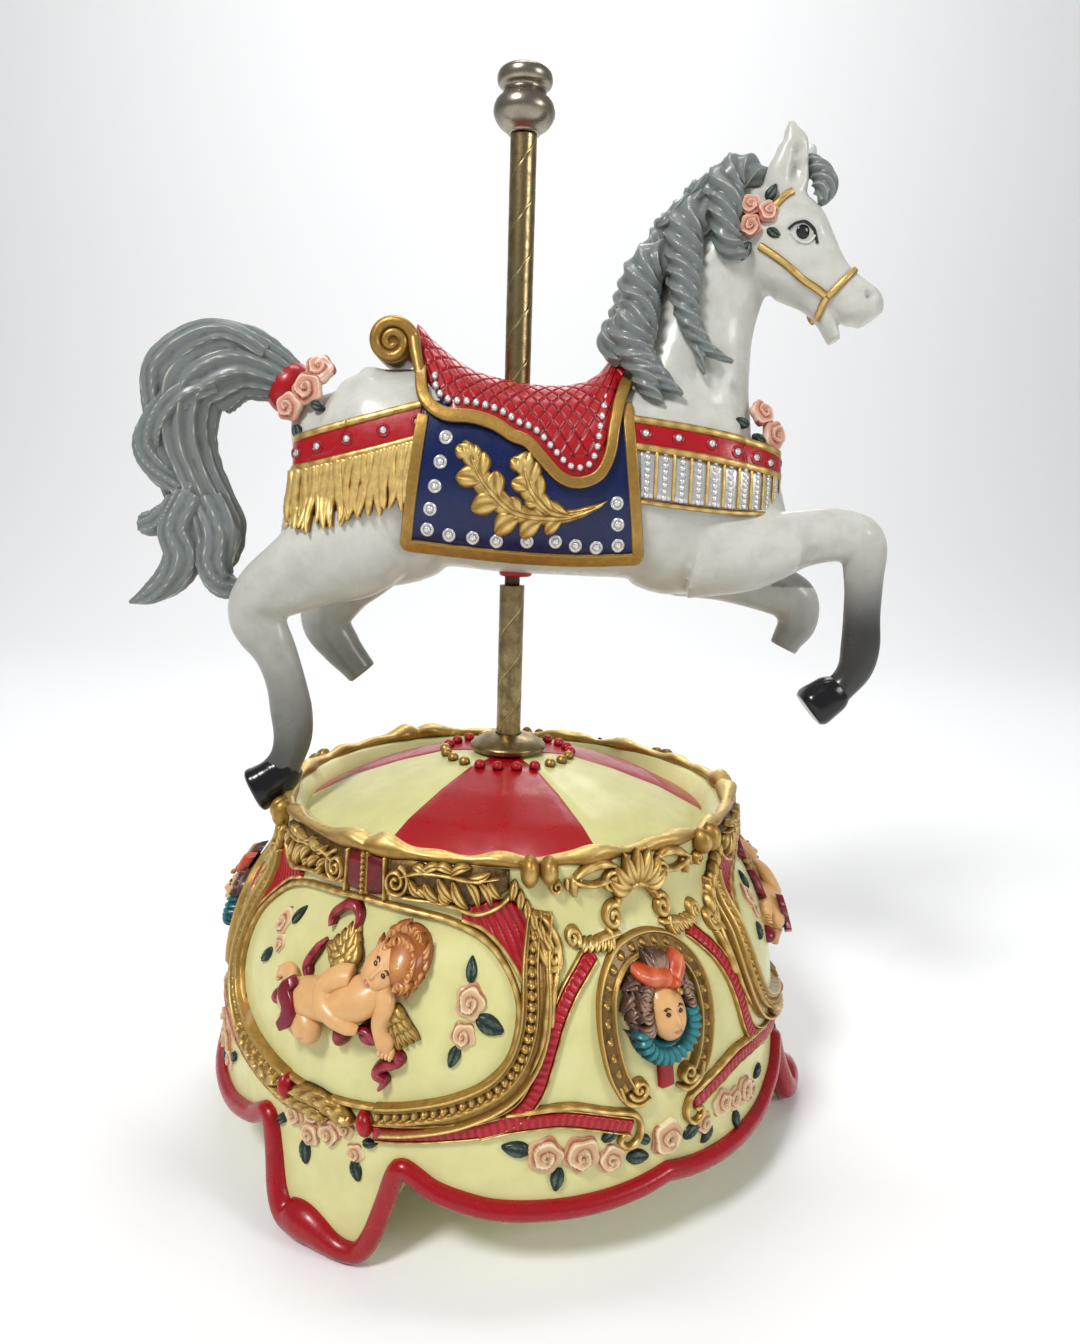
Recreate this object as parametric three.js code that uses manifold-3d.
// A carousel horse figurine: a leaping horse cast in one piece, carried on a brass pole above a painted round base.
// Millimetres, +Z up, drawn round the pole's axis from the ground; the horse heads along +X.
import * as THREE from "three";
import { mergeVertices } from "three/addons/utils/BufferGeometryUtils.js";
import Module from "manifold-3d";

const wasm = await Module();
wasm.setup();

// ---- driving dimensions ----
const BASE = {
  rimZ: 104.5,
  rimInner: 64,
  rimTop: 66.5,
  domeEdgeZ: 97,
  domeTopZ: 116.8,
  floorZ: 9,
  beadRing: 20.5,
  beads: 22,
  beadRadius: 1.7,
};
const CHERUB_AXES = [-30, 90, 210];
const JESTER_AXES = [30, 150, 270];
const FOOT_REACH = [93.5, 101, 97];
const POLE = { rod: 2.4, tube: 3.95, bore: 2.8 };
const LOWER_TUBE = { bottom: 119.3, top: 170.9 };
const UPPER_TUBE = { bottom: 232.6, top: 303.6 };
const COLLAR = { radius: 12.2, bottom: 117.1, top: 122.6 };
const FINIAL_Z = 303.9;
const GAP = 0.3;
const GIRTH_BOTTOM = 173.2;

// ---- solids and lofts ----
const rad = THREE.MathUtils.degToRad;

// A closed geometry as a manifold solid, turned outward whatever way its rings ran.
function solid(geometry) {
  const merged = mergeVertices(bare(geometry), 1e-4);
  const index = new Uint32Array(merged.index.array);
  const make = () =>
    new wasm.Manifold(
      new wasm.Mesh({ numProp: 3, vertProperties: merged.attributes.position.array, triVerts: index }),
    );
  const made = make();
  if (made.volume() > 0) return made;
  for (let i = 0; i < index.length; i += 3) {
    [index[i + 1], index[i + 2]] = [index[i + 2], index[i + 1]];
  }
  return make();
}

function bare(geometry) {
  const flat = geometry.index ? geometry.toNonIndexed() : geometry;
  return new THREE.BufferGeometry().setAttribute("position", flat.getAttribute("position"));
}

// Rings of equal count joined side by side, closed by a fan at each end.
function skin(rings) {
  const count = rings[0].length;
  const points = [];
  const faces = [];
  rings.forEach((ring) => ring.forEach((p) => points.push(...p)));
  for (let i = 0; i + 1 < rings.length; i++) {
    for (let j = 0; j < count; j++) {
      const k = (j + 1) % count;
      const a = i * count + j;
      const b = i * count + k;
      faces.push(a, b, b + count, a, b + count, a + count);
    }
  }
  [0, rings.length - 1].forEach((row) => {
    const hub = points.length / 3;
    const mean = [0, 1, 2].map((axis) => rings[row].reduce((sum, p) => sum + p[axis], 0) / count);
    points.push(...mean);
    for (let j = 0; j < count; j++) {
      const a = row * count + j;
      const b = row * count + ((j + 1) % count);
      faces.push(...(row ? [a, b, hub] : [b, a, hub]));
    }
  });
  const geometry = new THREE.BufferGeometry();
  geometry.setAttribute("position", new THREE.Float32BufferAttribute(points, 3));
  geometry.setIndex(faces);
  return solid(geometry);
}

// Stations of numbers resampled along a Catmull-Rom curve.
function flow(stations, steps) {
  const last = stations.length - 1;
  return Array.from({ length: steps + 1 }, (_, i) => {
    const t = (i / steps) * last;
    const k = Math.min(Math.floor(t), last - 1);
    const f = t - k;
    const [p0, p1, p2, p3] = [k - 1, k, k + 1, k + 2].map((n) => stations[Math.min(Math.max(n, 0), last)]);
    return p1.map((_, c) => {
      const slopeA = (p2[c] - p0[c]) / 2;
      const slopeB = (p3[c] - p1[c]) / 2;
      const rise = p1[c] - p2[c];
      return p1[c] + f * (slopeA + f * (-3 * rise - 2 * slopeA - slopeB + f * (2 * rise + slopeA + slopeB)));
    });
  });
}

const power = (value, exponent) => Math.sign(value) * Math.abs(value) ** exponent;

// A limb along stations [x, y, z, half depth in the side view, half width, twist in degrees]:
// rounded sections square to the path, turned by the twist.
function limb(stations, { steps = 8, sides = 10, squareness = 2 } = {}) {
  const path = flow(stations, steps);
  const across = new THREE.Vector3(0, 1, 0);
  const rings = path.map((at, i) => {
    const before = path[Math.max(i - 1, 0)];
    const after = path[Math.min(i + 1, path.length - 1)];
    const along = new THREE.Vector3(after[0] - before[0], after[1] - before[1], after[2] - before[2]).normalize();
    const depth = new THREE.Vector3().crossVectors(across, along).normalize();
    const width = new THREE.Vector3().crossVectors(along, depth);
    const turn = rad(at[5] ?? 0);
    return Array.from({ length: sides }, (_, j) => {
      const angle = (j / sides) * 2 * Math.PI;
      const u = at[3] * power(Math.cos(angle), 2 / squareness);
      const v = at[4] * power(Math.sin(angle), 2 / squareness);
      const s = u * Math.cos(turn) - v * Math.sin(turn);
      const t = u * Math.sin(turn) + v * Math.cos(turn);
      return ["x", "y", "z"].map((k, c) => at[c] + depth[k] * s + width[k] * t);
    });
  });
  return skin(rings);
}

const join = (solids) => solids.reduce((sum, next) => sum.add(next));

// The outer shell alone: a pocket sealed between two overlapping forms is solid in the casting.
const cast = (body) => join(body.decompose().filter((shell) => shell.volume() > 0));

// A turned solid from a profile [radius, z] that starts and ends on the axis.
function turned(profile, sides = 32) {
  const points = profile.map(([r, z]) => new THREE.Vector2(r, z));
  const geometry = new THREE.LatheGeometry(points, sides).rotateX(Math.PI / 2);
  return solid(geometry);
}

const rod = (radius, bottom, top, sides = 24) =>
  turned([[0, bottom], [radius, bottom], [radius, top], [0, top]], sides);

// An outline in the horse's side view [x, z], carried right through the horse from side to side.
function sideCut(outline, reach = 60) {
  const shape = new THREE.Shape(outline.map(([x, z]) => new THREE.Vector2(x, z)));
  const geometry = new THREE.ExtrudeGeometry(shape, { depth: 2 * reach, bevelEnabled: false, curveSegments: 1 });
  geometry.rotateX(Math.PI / 2).translate(0, reach, 0);
  return solid(geometry);
}

// ---- the horse ----
// Trunk stations along the body: x, back, belly, half width.
const TRUNK = [
  [-67.6, 218, 196, 5],
  [-65.2, 228, 186, 12.5],
  [-60, 233.4, 177, 18],
  [-50, 236, 170, 22],
  [-38, 236.4, 170, 24],
  [-22, 236, 176, 24.5],
  [0, 232.4, 175, 24.5],
  [22, 233, 174.5, 24.5],
  [40, 236, 173.5, 24],
  [54, 234, 168.8, 23],
  [66, 228, 170.5, 20.5],
  [74, 226, 175, 17],
  [80, 221, 186, 11],
  [82.5, 212, 197, 5],
];
const TRUNK_SQUARENESS = 2.25;

// The trunk, grown outward by a skin thickness for the tack that lies on it.
function trunk(grow = 0, steps = 12, sides = 12) {
  const stations = TRUNK.map(([x, back, belly, half]) => [
    x,
    0,
    (back + belly) / 2,
    (back - belly) / 2 + grow,
    half + grow,
  ]);
  return limb(stations, { steps, sides, squareness: TRUNK_SQUARENESS });
}

function neck() {
  return limb(
    [
      [44, 0, 205, 30, 20],
      [49, 0, 224, 25, 18],
      [52.5, -0.5, 238, 19.5, 14.5],
      [56, -1, 252, 16, 11.5],
      [61, -2, 265, 14, 10.5],
      [68, -3, 277, 12.5, 9.8],
      [73, -4, 287, 9, 7.5],
    ],
    { steps: 6, sides: 12 },
  );
}

function head() {
  const skull = limb(
    [
      [67, -2, 287, 7, 7],
      [72, -3.5, 281.5, 13, 9.6],
      [78, -6, 274.5, 14.5, 10],
      [84.5, -8.5, 268, 11.5, 8.6],
      [91, -10.8, 262.6, 8.6, 6.9],
      [97, -12.6, 258.8, 8, 6.8],
      [101, -13.8, 256, 7.4, 6.8],
      [104.3, -14.6, 253.4, 4.6, 5],
    ],
    { steps: 9, sides: 12, squareness: 2.2 },
  );
  const lowerJaw = limb(
    [
      [80, -8, 264.5, 7, 6.5],
      [87, -10, 258.5, 4.4, 5],
      [91.5, -11.5, 252.5, 3, 4.2],
      [93.3, -12.2, 247.4, 2.6, 3.6],
    ],
    { steps: 4, sides: 8 },
  );
  const mouth = sideCut([[92.6, 246], [92, 251], [94.4, 255.6], [98, 251.6], [100.6, 249.2], [100, 245]]);
  return skull.subtract(mouth).add(lowerJaw);
}

function ear(root, tip, lean) {
  const stations = [0, 0.35, 0.7, 1].map((t) => {
    const width = [5.4, 6, 3.6, 0.5][Math.round(t * 3)];
    return [0, 1, 2].map((c) => root[c] + (tip[c] - root[c]) * t + (c === 1 ? lean * t * (1 - t) : 0)).concat([
      width,
      width * 0.45 + 0.6,
      20,
    ]);
  });
  return limb(stations, { steps: 4, sides: 6 });
}

const LEGS = {
  nearFore: [
    [56, -12, 186, 17, 10],
    [72, -15, 184.5, 12, 9.5],
    [86, -16, 188.6, 8.9, 7.4],
    [98, -16, 190.2, 8, 6.6],
    [105.6, -16, 187.6, 7.4, 6.4],
    [107.2, -16, 177, 5.9, 5.3],
    [107.6, -16, 166, 5.6, 4.7],
    [108, -16, 156.5, 6, 4.8],
    [107, -16, 149.5, 5.4, 4.8],
    [103.4, -16, 144, 4.6, 4.4],
    [99.2, -16, 140.4, 5.3, 5.2],
    [94.8, -16, 136.6, 4.9, 5.4],
  ],
  farFore: [
    [58, 12, 182, 15, 9.5],
    [72, 13.5, 177, 11, 8.6],
    [86, 14, 171.6, 8.6, 7],
    [95, 14, 167.4, 7.8, 6.4],
    [96.6, 14, 160, 6.8, 5.6],
    [94, 14, 154.4, 5.3, 4.8],
    [92.4, 14, 151, 4.8, 4.4],
  ],
  nearHind: [
    [-42, -9, 200, 22, 11],
    [-49, -12.5, 185, 19, 11],
    [-61.5, -15, 176, 13, 9.5],
    [-74, -16, 167.5, 9.6, 7.6],
    [-76.5, -16, 159.6, 8.7, 6.2],
    [-71.6, -16, 150, 6.6, 5],
    [-68.6, -16, 141, 6.1, 4.6],
    [-66.9, -16, 131.6, 6.5, 4.6],
    [-66.6, -16, 123.4, 5.9, 4.7],
    [-69.6, -16.5, 115.8, 5.2, 4.6],
    [-74.2, -17.5, 110, 6.6, 5.2],
    [-79, -18.5, 106.6, 6.6, 5.4],
  ],
  farHind: [
    [-40, 11, 197, 22, 11],
    [-48, 13, 181, 16, 10],
    [-58, 14, 167, 11, 8.5],
    [-61.6, 14, 156, 8.4, 6.8],
    [-57, 14, 147.6, 6.8, 5.6],
    [-52.4, 14, 142, 5.6, 4.9],
    [-49.6, 14, 138.6, 5.2, 4.6],
  ],
};

const leg = (stations) => limb(stations, { steps: Math.round(1.2 * (stations.length - 1)), sides: 8 });

// Locks of hair: tapering ropes, each a path with its half sizes and its twist.
const LOCK = { steps: 6, sides: 5 };
const MANE = [
  [[66, -6, 293, 4, 5, 0], [59, -10, 294, 6, 5, 30], [54, -13, 286, 6.5, 5, 70], [54, -14, 276, 6.5, 4.5, 110],
    [58, -14, 268, 5, 4, 150], [64, -13, 267, 1.5, 2, 180]],
  [[62, -3, 291, 4, 6, 0], [50, -7, 285, 6.5, 6, 30], [47, -10, 276, 7, 6, 60], [51, -12.5, 265, 7, 5, 110],
    [52, -14, 254, 5.5, 4.5, 150], [56, -16, 243, 3.4, 3, 190], [63, -17, 239.5, 0.8, 1, 220]],
  [[50, -6, 282, 5, 6, 0], [39, -7, 271, 6.5, 7, 40], [36, -10, 260, 7.4, 6, 80], [39, -13, 251, 6.4, 5, 120],
    [45, -15.5, 242, 4.6, 4, 160], [53, -17.5, 235, 1, 1.2, 200]],
  [[36, -4, 268, 4, 6, 0], [31, -6, 256, 5.5, 7, 40], [30, -9, 247, 5.4, 6, 80], [36, -14, 239, 6, 5, 120],
    [43, -17.5, 233, 4.6, 3.6, 160], [48, -19, 228, 1, 1.2, 190]],
  [[60, 3, 290, 4, 5, 0], [48, 4, 281, 6, 6, 30], [38, 4, 268, 6, 6, 60], [32, 5, 254, 5.5, 6, 100],
    [31, 6, 243, 4, 5, 130]],
  [[72, -3, 293, 4, 5, 0], [80, -7, 296, 5, 5, 20], [87, -9, 293, 4.5, 4.5, 60], [90, -10, 286, 2.6, 3, 100],
    [86, -10, 282.5, 0.8, 1, 130]],
];
const TAIL = [
  [[-69, 0, 230, 6.5, 6, 0], [-79, 0, 236, 8.5, 8, 20], [-90, -1, 238, 9.5, 9, 50], [-101, -1, 231, 10, 9, 90],
    [-103, 0, 218, 9.5, 9, 130], [-102, 0, 207, 10, 8.5, 170], [-98, 0, 196, 8.6, 8, 210], [-96, -1, 185, 8.5, 7.5, 250],
    [-97, -2, 174, 8, 6, 290], [-92, -3, 167, 3, 3, 330]],
  [[-73, -3, 235, 3, 4, 0], [-82, -4, 242, 4, 5.5, 20], [-94, -5, 243.4, 4.6, 6, 50], [-105, -5, 236, 4.8, 6, 90],
    [-108.6, -4, 225, 4.4, 5.5, 130], [-108, -4, 213, 3.4, 4, 160], [-101, -4, 204, 1.5, 2, 190]],
  [[-96, -3, 226, 4, 6, 0], [-106, -4, 220, 5, 6, 40], [-111, -4, 209, 5, 5.5, 80], [-107, -4, 201, 4.4, 5, 120],
    [-101, -4, 195, 3, 4, 150]],
  [[-98, -3, 200, 4, 5, 0], [-103, -4, 191, 4.4, 5, 40], [-110, -4, 186.6, 3.4, 4, 80], [-115, -3, 189, 0.8, 1.4, 110]],
  [[-97, -4, 196, 5, 5, 0], [-101, -5, 184, 6, 5, 50], [-100, -6, 176, 6, 4.6, 90], [-106, -6, 168.6, 5, 4, 130],
    [-113, -5, 164.6, 3.4, 3, 160], [-119, -4, 162.4, 0.6, 0.8, 190]],
  [[-94, -3, 195, 4.6, 5, 0], [-89, -5, 184, 5.4, 5, 50], [-91, -6, 175, 5.4, 4.4, 90], [-87, -6, 168, 4.8, 4, 130],
    [-79, -5, 168.4, 1, 1.4, 170]],
];
const hair = (locks) => join(locks.map((lock) => limb(lock, LOCK)));

// The tack: skins of the trunk, each bounded by its outline in the side view.
const SADDLE = [
  [-36, 262], [-31, 249.5], [-27.5, 236], [-26.5, 225], [-21, 220.4], [-12, 219.6], [-5, 217.6], [2, 214], [7, 209.6],
  [12.4, 204.4], [18.4, 203], [24, 205], [27, 210.6], [28, 218.6], [30, 226], [32.4, 231.4], [31, 243], [26, 262],
];
const BLANKET = [[-25.6, 236], [-27.4, 217], [-32.4, 184], [-5, 181.2], [16, 180.6], [38, 181.4], [34, 210], [31, 236]];
const REAR_BAND = [[-90, 213], [-64, 215.6], [-27, 226], [-27, 212], [-64, 203], [-90, 200]];
const REAR_FRINGE = [[-90, 204], [-64, 205], [-27, 214], [-29.4, 195.6], [-37, 192.6], [-48, 190], [-60, 186.6], [-90, 184]];
const BREAST_BAND = [[31, 224], [48, 221.6], [62, 218.6], [90, 213], [90, 206], [72, 208.6], [54, 211], [34, 213.6]];
const BEAD_FRINGE = [[33, 214.6], [54, 212], [72, 209.6], [90, 207], [90, 195.6], [64, 195.6], [50, 196.6], [36.4, 198.4]];
const GIRTH = [[-5, 200], [-5.4, GIRTH_BOTTOM - 3], [6.6, GIRTH_BOTTOM - 3], [6, 200]];

function tack() {
  const worn = (thickness, outline) => trunk(thickness, 8, 10).intersect(sideCut(outline));
  return join([
    worn(1.8, BLANKET),
    worn(3.2, SADDLE),
    worn(1.3, REAR_BAND),
    worn(0.9, REAR_FRINGE),
    worn(1.3, BREAST_BAND),
    worn(0.9, BEAD_FRINGE),
    worn(1.6, GIRTH),
  ]);
}

// The cantle rises behind the seat into a rolled volute; the pommel rises before it.
function saddleEnds() {
  const cantle = limb(
    [[-12, 0, 229, 6, 14], [-19, 0, 234.5, 5.5, 13.5], [-25, 0, 240.5, 5, 12.5], [-30, 0, 246, 4.4, 11.5],
      [-34.6, 0, 248.6, 3.6, 10.5]],
    { steps: 5, sides: 8, squareness: 3 },
  );
  const pommel = limb(
    [[10, 0, 227, 5, 13], [20, 0, 230, 4.4, 12], [25, 0, 235, 4, 10], [28, 0, 241.6, 2.4, 8]],
    { steps: 4, sides: 8, squareness: 3 },
  );
  const volute = rod(7.2, -11.5, 11.5, 16).rotate([90, 0, 0]).translate([-37, 0, 242.4]);
  return join([cantle, pommel, volute]);
}

const ball = (centre, radius, detail = 6) =>
  solid(new THREE.SphereGeometry(radius, detail, Math.ceil(detail / 2)).translate(...centre));

// Carved roses: at the dock of the tail, behind the cheek and on the breast, each a rounded bloom.
const HORSE_ROSES = [
  [-58.5, -7, 233, 5], [-61.5, -9, 227.4, 5], [-67.6, -7, 222.4, 4.6], [66, -12.5, 283, 3.8], [71.4, -13.6, 281, 3.8],
  [66.4, -13.6, 277.4, 3.8], [74, -6, 225.4, 4.8], [78, -6, 218, 5],
];

function horse() {
  const body = join([
    trunk(),
    neck(),
    head(),
    ear([73.5, -9, 288], [74.4, -8.4, 306.4], -3),
    ear([76.5, 1, 289], [86.6, 3.4, 305.6], 3),
    ...Object.values(LEGS).map(leg),
    tack(),
    saddleEnds(),
    hair(MANE),
    hair(TAIL),
    limb([[-66, 0, 227, 7.4, 7.4], [-69.4, 0, 229.2, 8, 8], [-73, 0, 231.4, 7.2, 7.2]], { steps: 3, sides: 12 }),
    ...HORSE_ROSES.map(([x, y, z, r]) => ball([x, y, z], r)),
  ]);
  const bore = rod(POLE.bore, 100, 400, 20);
  const seat = rod(POLE.tube + GAP + 0.2, UPPER_TUBE.bottom - GAP, 400, 24);
  return cast(body).subtract(bore).subtract(seat);
}

// ---- the pole ----
// A plain tube on the rod; the seam line wound round it is too fine for the solid.
const tube = (bottom, top) =>
  rod(POLE.tube, bottom, top).subtract(rod(POLE.rod + GAP, bottom - 1, top + 1, 16));

function finial() {
  const profile = [
    [0, 0], [4.2, 0], [5.2, 0.7], [7.6, 2.6], [9.1, 5.6], [8.6, 8.6], [6.6, 10.9], [6.3, 12.2], [7.8, 13.4], [8.2, 15.4],
    [7.4, 17.2], [5, 18.3], [0, 18.6],
  ];
  return turned(profile.map(([r, z]) => [r, z + FINIAL_Z]), 20);
}

function collar() {
  const { radius, bottom, top } = COLLAR;
  const profile = [
    [0, bottom], [radius - 1.4, bottom], [radius, bottom + 1.2], [radius - 0.3, bottom + 2.3], [radius - 3, bottom + 4],
    [6.2, top - 0.4], [5, top], [0, top],
  ];
  return turned(profile, 20).subtract(rod(POLE.tube + GAP, bottom - 1, top + 1, 20));
}

// The steel rod stands in a blind hole of the base and runs up through tube, horse and upper tube.
const innerRod = () => rod(POLE.rod, 104, FINIAL_Z - GAP, 16);

// ---- the base ----
const pattern = (degrees, axes) => {
  const away = axes.map((axis) => Math.abs(((degrees - axis + 540) % 360) - 180));
  return Math.min(...away);
};

// Wall radius by height, full at the cherub panels and slimmer at the jester panels near the rim.
const WALL = [
  [0, 93], [9, 92.6], [20, 91], [32, 90.2], [45, 89.8], [62, 87.4], [76, 82.5], [86, 76.5], [93, 74.4], [104.5, 73.4],
];
function wallRadius(degrees, height) {
  const z = Math.min(Math.max(height, 0), BASE.rimZ);
  const k = Math.max(1, WALL.findIndex(([level]) => level >= z));
  const [z0, r0] = WALL[k - 1];
  const [z1, r1] = WALL[k];
  const plain = r0 + ((r1 - r0) * (z - z0)) / (z1 - z0);
  const fromCherub = pattern(degrees, CHERUB_AXES) / 60;
  return plain - 3.2 * (z / BASE.rimZ) * fromCherub;
}

// The lower hem: feet under the cherub panels, a notch beside each, a long lobe, and a cusp under the jester.
// Directions, measured from each cherub axis, at which the wall and its hem are drawn.
const COLUMNS = [-60, -46, -30, -20, -13.4, -8, 0, 8, 13.4, 20, 30, 46];
const HEM = [[0, 0], [8, 0], [13.4, 26], [20, 21.4], [30, 17.4], [46, 16.8], [60, 18.6]];
function hem(degrees) {
  const away = pattern(degrees, CHERUB_AXES);
  const k = Math.max(1, HEM.findIndex(([angle]) => angle >= away));
  const [a0, h0] = HEM[k - 1];
  const [a1, h1] = HEM[k];
  return h0 + ((h1 - h0) * (away - a0)) / (a1 - a0);
}

const onWall = (degrees, z, out = 0) => {
  const r = wallRadius(degrees, z) + out;
  return [r * Math.sin(rad(degrees)), -r * Math.cos(rad(degrees)), z];
};

// The reach of the foot nearest to a direction, blended away from the foot itself.
function flare(degrees, z) {
  const foot = CHERUB_AXES.findIndex((axis) => pattern(degrees, [axis]) <= 60);
  const near = Math.max(0, 1 - pattern(degrees, CHERUB_AXES) / 26);
  return (FOOT_REACH[foot] - 93) * near * Math.max(0, 1 - z / 34);
}

// The drum: one ring of wall rows, rim and dome per direction, closed by a flat underside.
function drum() {
  const angles = [];
  CHERUB_AXES.forEach((axis) => {
    COLUMNS.forEach((a) => angles.push(axis + a));
  });
  const heights = [45, 64, 82, 93, BASE.rimZ];
  const columns = angles.map((degrees) => {
    const low = hem(degrees);
    const wall = [low, ...heights].map((z) => {
      const [x, y] = onWall(degrees, z, flare(degrees, z));
      return [x, y, z];
    });
    const scallop = BASE.rimZ + 1.6 * Math.cos(rad(pattern(degrees, CHERUB_AXES) * 12));
    wall[wall.length - 1][2] = scallop;
    const inner = [
      [BASE.rimTop, scallop], [BASE.rimInner, BASE.domeEdgeZ], [44, 108.4], [BASE.beadRing, BASE.domeTopZ - 1],
    ].map(([r, z]) => [r * Math.sin(rad(degrees)), -r * Math.cos(rad(degrees)), z]);
    const under = [86.5, 84].map((r, i) => {
      const reach = r + flare(degrees, low);
      return [reach * Math.sin(rad(degrees)), -reach * Math.cos(rad(degrees)), i ? Math.max(low, BASE.floorZ + 4) : low];
    });
    const floor = [70 * Math.sin(rad(degrees)), -70 * Math.cos(rad(degrees)), BASE.floorZ + 4];
    return [floor, under[1], under[0], ...wall, ...inner];
  });
  const rows = columns[0].map((_, i) => columns.map((column) => column[i]));
  return skin(rows);
}

// A raised strip over the wall along [degrees, z] points: half width on the wall and height above it.
function strip(points, half, height, { steps = 12 } = {}) {
  const path = flow(points, steps);
  const rings = path.map(([degrees, z], i) => {
    const before = path[Math.max(i - 1, 0)];
    const after = path[Math.min(i + 1, path.length - 1)];
    const arc = rad(1) * wallRadius(degrees, z);
    const run = (after[0] - before[0]) * arc;
    const rise = after[1] - before[1];
    const length = Math.hypot(run, rise);
    return [[-half, -1.8], [half, -1.8], [half * 0.55, height], [-half * 0.55, height]].map(([side, out]) =>
      onWall(degrees - (side * rise) / length / arc, z + (side * run) / length, out),
    );
  });
  return skin(rings);
}

// A rounded boss over the wall: half sizes along and up the wall, and height above it.
function boss(degrees, z, along, up, height, sides = 6) {
  const arc = rad(1) * wallRadius(degrees, z);
  const ring = (share, out) =>
    Array.from({ length: sides }, (_, j) => {
      const angle = ((j + 0.5) / sides) * 2 * Math.PI;
      const side = along * share * Math.cos(angle);
      return onWall(degrees + side / arc, z + up * share * Math.sin(angle), out);
    });
  return skin([ring(1, -1.8), ring(0.8, height * 0.62), ring(0.34, height)]);
}

const ovalFrame = (axis, halfWidth, halfHeight, midZ, count = 13) =>
  Array.from({ length: count }, (_, i) => {
    const angle = rad(-118 + (236 * i) / (count - 1));
    return [axis + halfWidth * Math.sin(angle), midZ + halfHeight * -Math.cos(angle)];
  });

// A cherub panel: an oval frame, a leafy cornice with a clasp on either side, and the reclining cherub.
function cherubPanel(axis) {
  const frame = strip(ovalFrame(axis, 36, 26.5, 69), 3.4, 2.6, { steps: 12 });
  const cornice = [-1, 1].map((side) =>
    strip([[axis + 4 * side, 98.6], [axis + 15 * side, 99], [axis + 29 * side, 99.4]], 5, 2.8, { steps: 3 }),
  );
  const crown = boss(axis, 100, 7, 5.6, 4.2);
  const figure = [
    boss(axis + 13.4, 80.2, 8, 7.8, 8, 8),
    boss(axis + 6.2, 69.6, 8.6, 6.8, 6, 7),
    boss(axis - 3.2, 62.8, 8, 6.6, 5.6, 7),
    boss(axis - 9.6, 65.4, 5, 7, 3.8, 5),
    boss(axis - 0.8, 79.4, 5, 4.6, 2.6, 5),
    boss(axis + 14.6, 61.6, 4.2, 6.4, 2.8, 5),
  ];
  return [frame, crown, ...cornice, ...figure];
}

// A jester panel: a horseshoe frame with curled ends, the head in its ruff, red bands, and scrolls above.
function jesterPanel(axis) {
  const horseshoe = [
    [axis - 8, 47.6], [axis - 10.6, 57], [axis - 11.4, 67], [axis - 9.4, 77], [axis - 0.6, 82.8], [axis + 8.2, 77],
    [axis + 10.2, 67], [axis + 9.4, 57], [axis + 6.8, 47.6],
  ];
  const bands = [-1, 1].map((side) =>
    strip([[axis + 11.4 * side, 82], [axis + 20.6 * side, 62], [axis + 30 * side, 42.6], [axis + 48 * side, 37.6]],
      2.2, 1.9, { steps: 4 }),
  );
  const sills = [-1, 1].map((side) =>
    strip([[axis + 28 * side, 43], [axis + 18 * side, 43.4], [axis + 6 * side, 38.4]], 2.2, 1.9, { steps: 3 }),
  );
  const shoulders = [-1, 1].map((side) =>
    strip([[axis + 25 * side, 92], [axis + 20.6 * side, 83], [axis + 13 * side, 86]], 3, 3, { steps: 3 }),
  );
  const clasps = [-1, 1].map((side) => boss(axis + 23.3 * side, 99.5, 4.2, 5.4, 3.6));
  return [
    strip(horseshoe, 2.4, 3.2, { steps: 8 }),
    boss(axis, 66, 6.6, 8.4, 8.6, 8),
    boss(axis, 75.6, 7.4, 5, 6),
    boss(axis, 56, 8.4, 4.6, 6),
    boss(axis, 97.5, 8, 6.4, 3.4),
    boss(axis - 6, 45.6, 2.8, 2.8, 3.4),
    boss(axis + 6, 45.6, 2.8, 2.8, 3.4),
    ...bands,
    ...sills,
    ...shoulders,
    ...clasps,
  ];
}

// Garlands of roses: one over each foot and a run of them under each jester.
const FOOT_ROSES = [[-3.6, 35, 5.4, 1.1], [3.4, 31, 5.4, 1.1]];
const SKIRT_ROSES = [
  [-19.4, 33.8, 4.8, 1.9], [-11, 30.6, 3.8, 1], [0.2, 31.6, 5, 1], [14, 32.4, 4.2, 1.8], [23.4, 30.2, 4, 1.4],
];
function garlands() {
  const bloom = (axis, [along, z, r, stretch]) => boss(axis + along, z, r * stretch, r, r * 0.9, 5);
  return [
    ...CHERUB_AXES.flatMap((axis) => FOOT_ROSES.map((rose) => bloom(axis, rose))),
    ...JESTER_AXES.flatMap((axis) => SKIRT_ROSES.map((rose) => bloom(axis, rose))),
  ];
}

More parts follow.
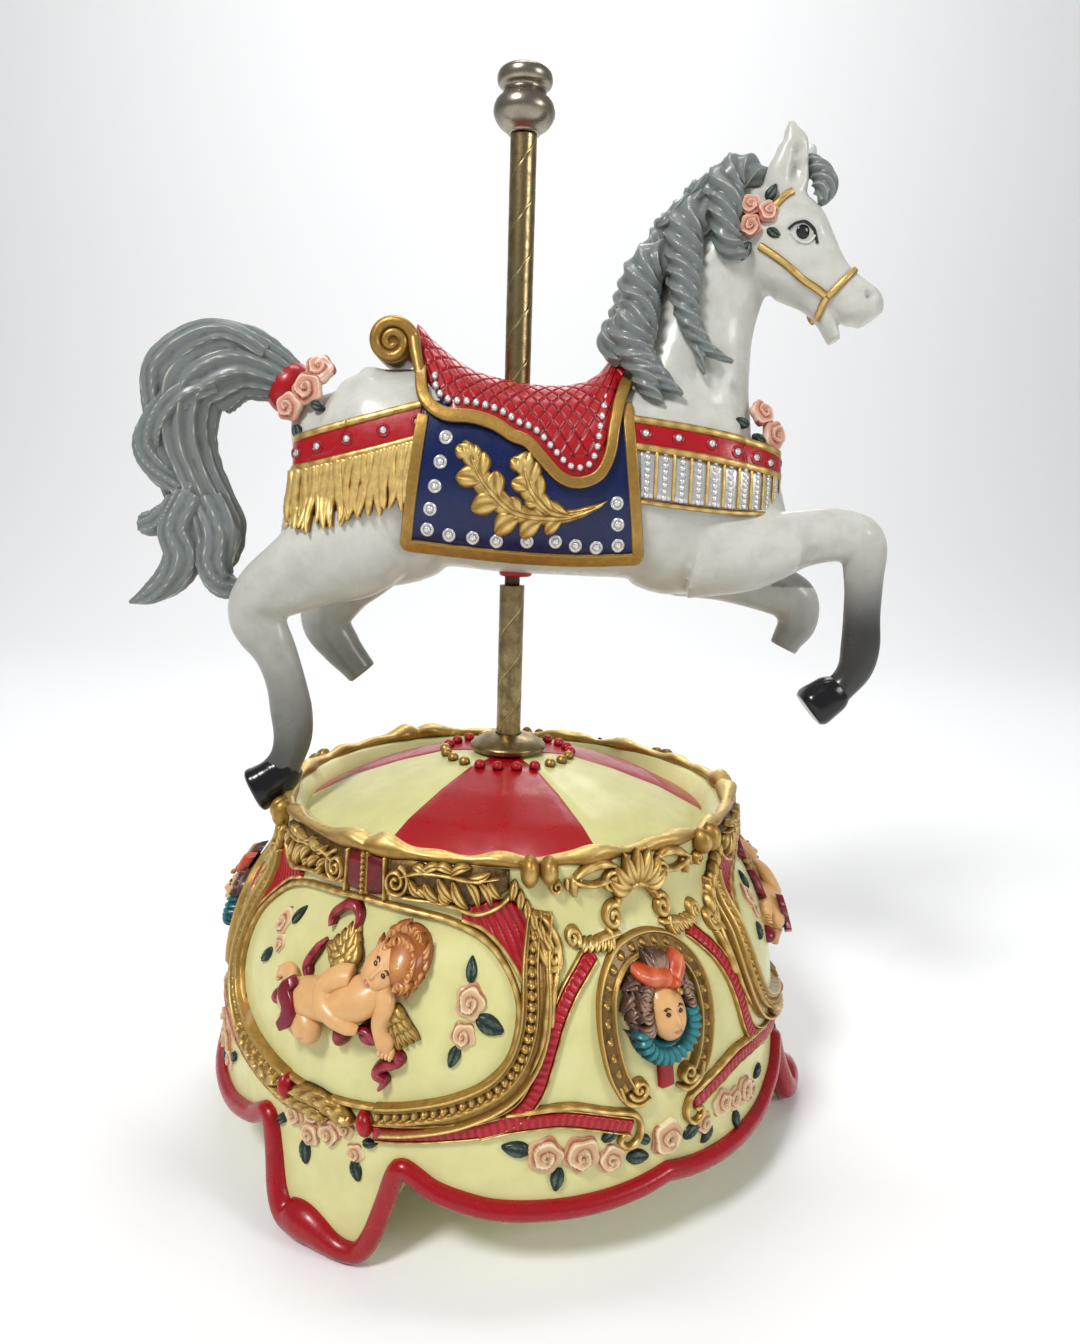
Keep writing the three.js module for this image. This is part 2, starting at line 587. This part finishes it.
// The rolled rim of the hem, one closed round of short straight runs.
function hemRoll(half = 2.7, sides = 4) {
  const angles = [];
  CHERUB_AXES.forEach((axis) => {
    COLUMNS.forEach((a) => angles.push(axis + a));
  });
  const at = angles.map((degrees) => {
    const z = hem(degrees) + half;
    return new THREE.Vector3(...onWall(degrees, z, flare(degrees, z) + 0.6));
  });
  const count = at.length;
  const points = [];
  const faces = [];
  at.forEach((p, i) => {
    const along = at[(i + 1) % count].clone().sub(at[(i + count - 1) % count]).normalize();
    const out = new THREE.Vector3(p.x, p.y, 0).normalize();
    const up = new THREE.Vector3().crossVectors(along, out).normalize();
    const away = new THREE.Vector3().crossVectors(up, along).normalize();
    for (let j = 0; j < sides; j++) {
      const angle = (j / sides) * 2 * Math.PI;
      const q = p.clone().addScaledVector(away, half * Math.cos(angle)).addScaledVector(up, half * Math.sin(angle));
      points.push(q.x, q.y, Math.max(q.z, 0));
      const a = i * sides + j;
      const b = i * sides + ((j + 1) % sides);
      const c = ((i + 1) % count) * sides + ((j + 1) % sides);
      const d = ((i + 1) % count) * sides + j;
      faces.push(a, b, c, a, c, d);
    }
  });
  const geometry = new THREE.BufferGeometry();
  geometry.setAttribute("position", new THREE.Float32BufferAttribute(points, 3));
  geometry.setIndex(faces);
  return solid(geometry);
}

function beadRing() {
  return Array.from({ length: BASE.beads }, (_, i) => {
    const angle = (i / BASE.beads) * 2 * Math.PI;
    const bead = new THREE.OctahedronGeometry(BASE.beadRadius * 1.2).rotateZ(angle);
    return solid(bead.translate(BASE.beadRing * Math.cos(angle), BASE.beadRing * Math.sin(angle), BASE.domeTopZ + 0.2));
  });
}

function base() {
  const body = join([
    drum(),
    hemRoll(),
    ...beadRing(),
    ...CHERUB_AXES.flatMap(cherubPanel),
    ...JESTER_AXES.flatMap(jesterPanel),
    ...garlands(),
  ]);
  const socket = rod(POLE.rod + GAP, 103.6, 140, 20);
  return cast(body).subtract(socket);
}

// ---- the assembly ----
const COATS = {
  base: { color: 0xe1dfa5, roughness: 0.35, metalness: 0 },
  collar: { color: 0xb08f4a, roughness: 0.35, metalness: 1 },
  lowerTube: { color: 0x8c7238, roughness: 0.35, metalness: 1 },
  upperTube: { color: 0x8c7238, roughness: 0.35, metalness: 1 },
  rod: { color: 0x4a3526, roughness: 0.5, metalness: 1 },
  horse: { color: 0xe6e6e0, roughness: 0.3, metalness: 0 },
  finial: { color: 0x9c8d6c, roughness: 0.3, metalness: 1 },
};

function mesh(name, body) {
  const { vertProperties, triVerts, numProp } = body.getMesh();
  const points = new Float32Array((vertProperties.length / numProp) * 3);
  for (let i = 0; i < points.length / 3; i++) {
    points.set(vertProperties.subarray(i * numProp, i * numProp + 3), i * 3);
  }
  const geometry = new THREE.BufferGeometry();
  geometry.setAttribute("position", new THREE.BufferAttribute(points, 3));
  geometry.setIndex(new THREE.BufferAttribute(triVerts, 1));
  geometry.computeVertexNormals();
  const made = new THREE.Mesh(geometry, new THREE.MeshStandardMaterial(COATS[name]));
  made.name = name;
  return made;
}

const figurine = new THREE.Group();
figurine.add(
  mesh("base", base()),
  mesh("collar", collar()),
  mesh("lowerTube", tube(LOWER_TUBE.bottom, LOWER_TUBE.top)),
  mesh("upperTube", tube(UPPER_TUBE.bottom, UPPER_TUBE.top)),
  mesh("rod", innerRod()),
  mesh("horse", horse()),
  mesh("finial", finial()),
);

// The part's frame: the origin is the middle of the underside of the whole figure's box.
const box = new THREE.Box3().setFromObject(figurine);
figurine.position.set(-(box.min.x + box.max.x) / 2, -(box.min.y + box.max.y) / 2, -box.min.z);

export default figurine;
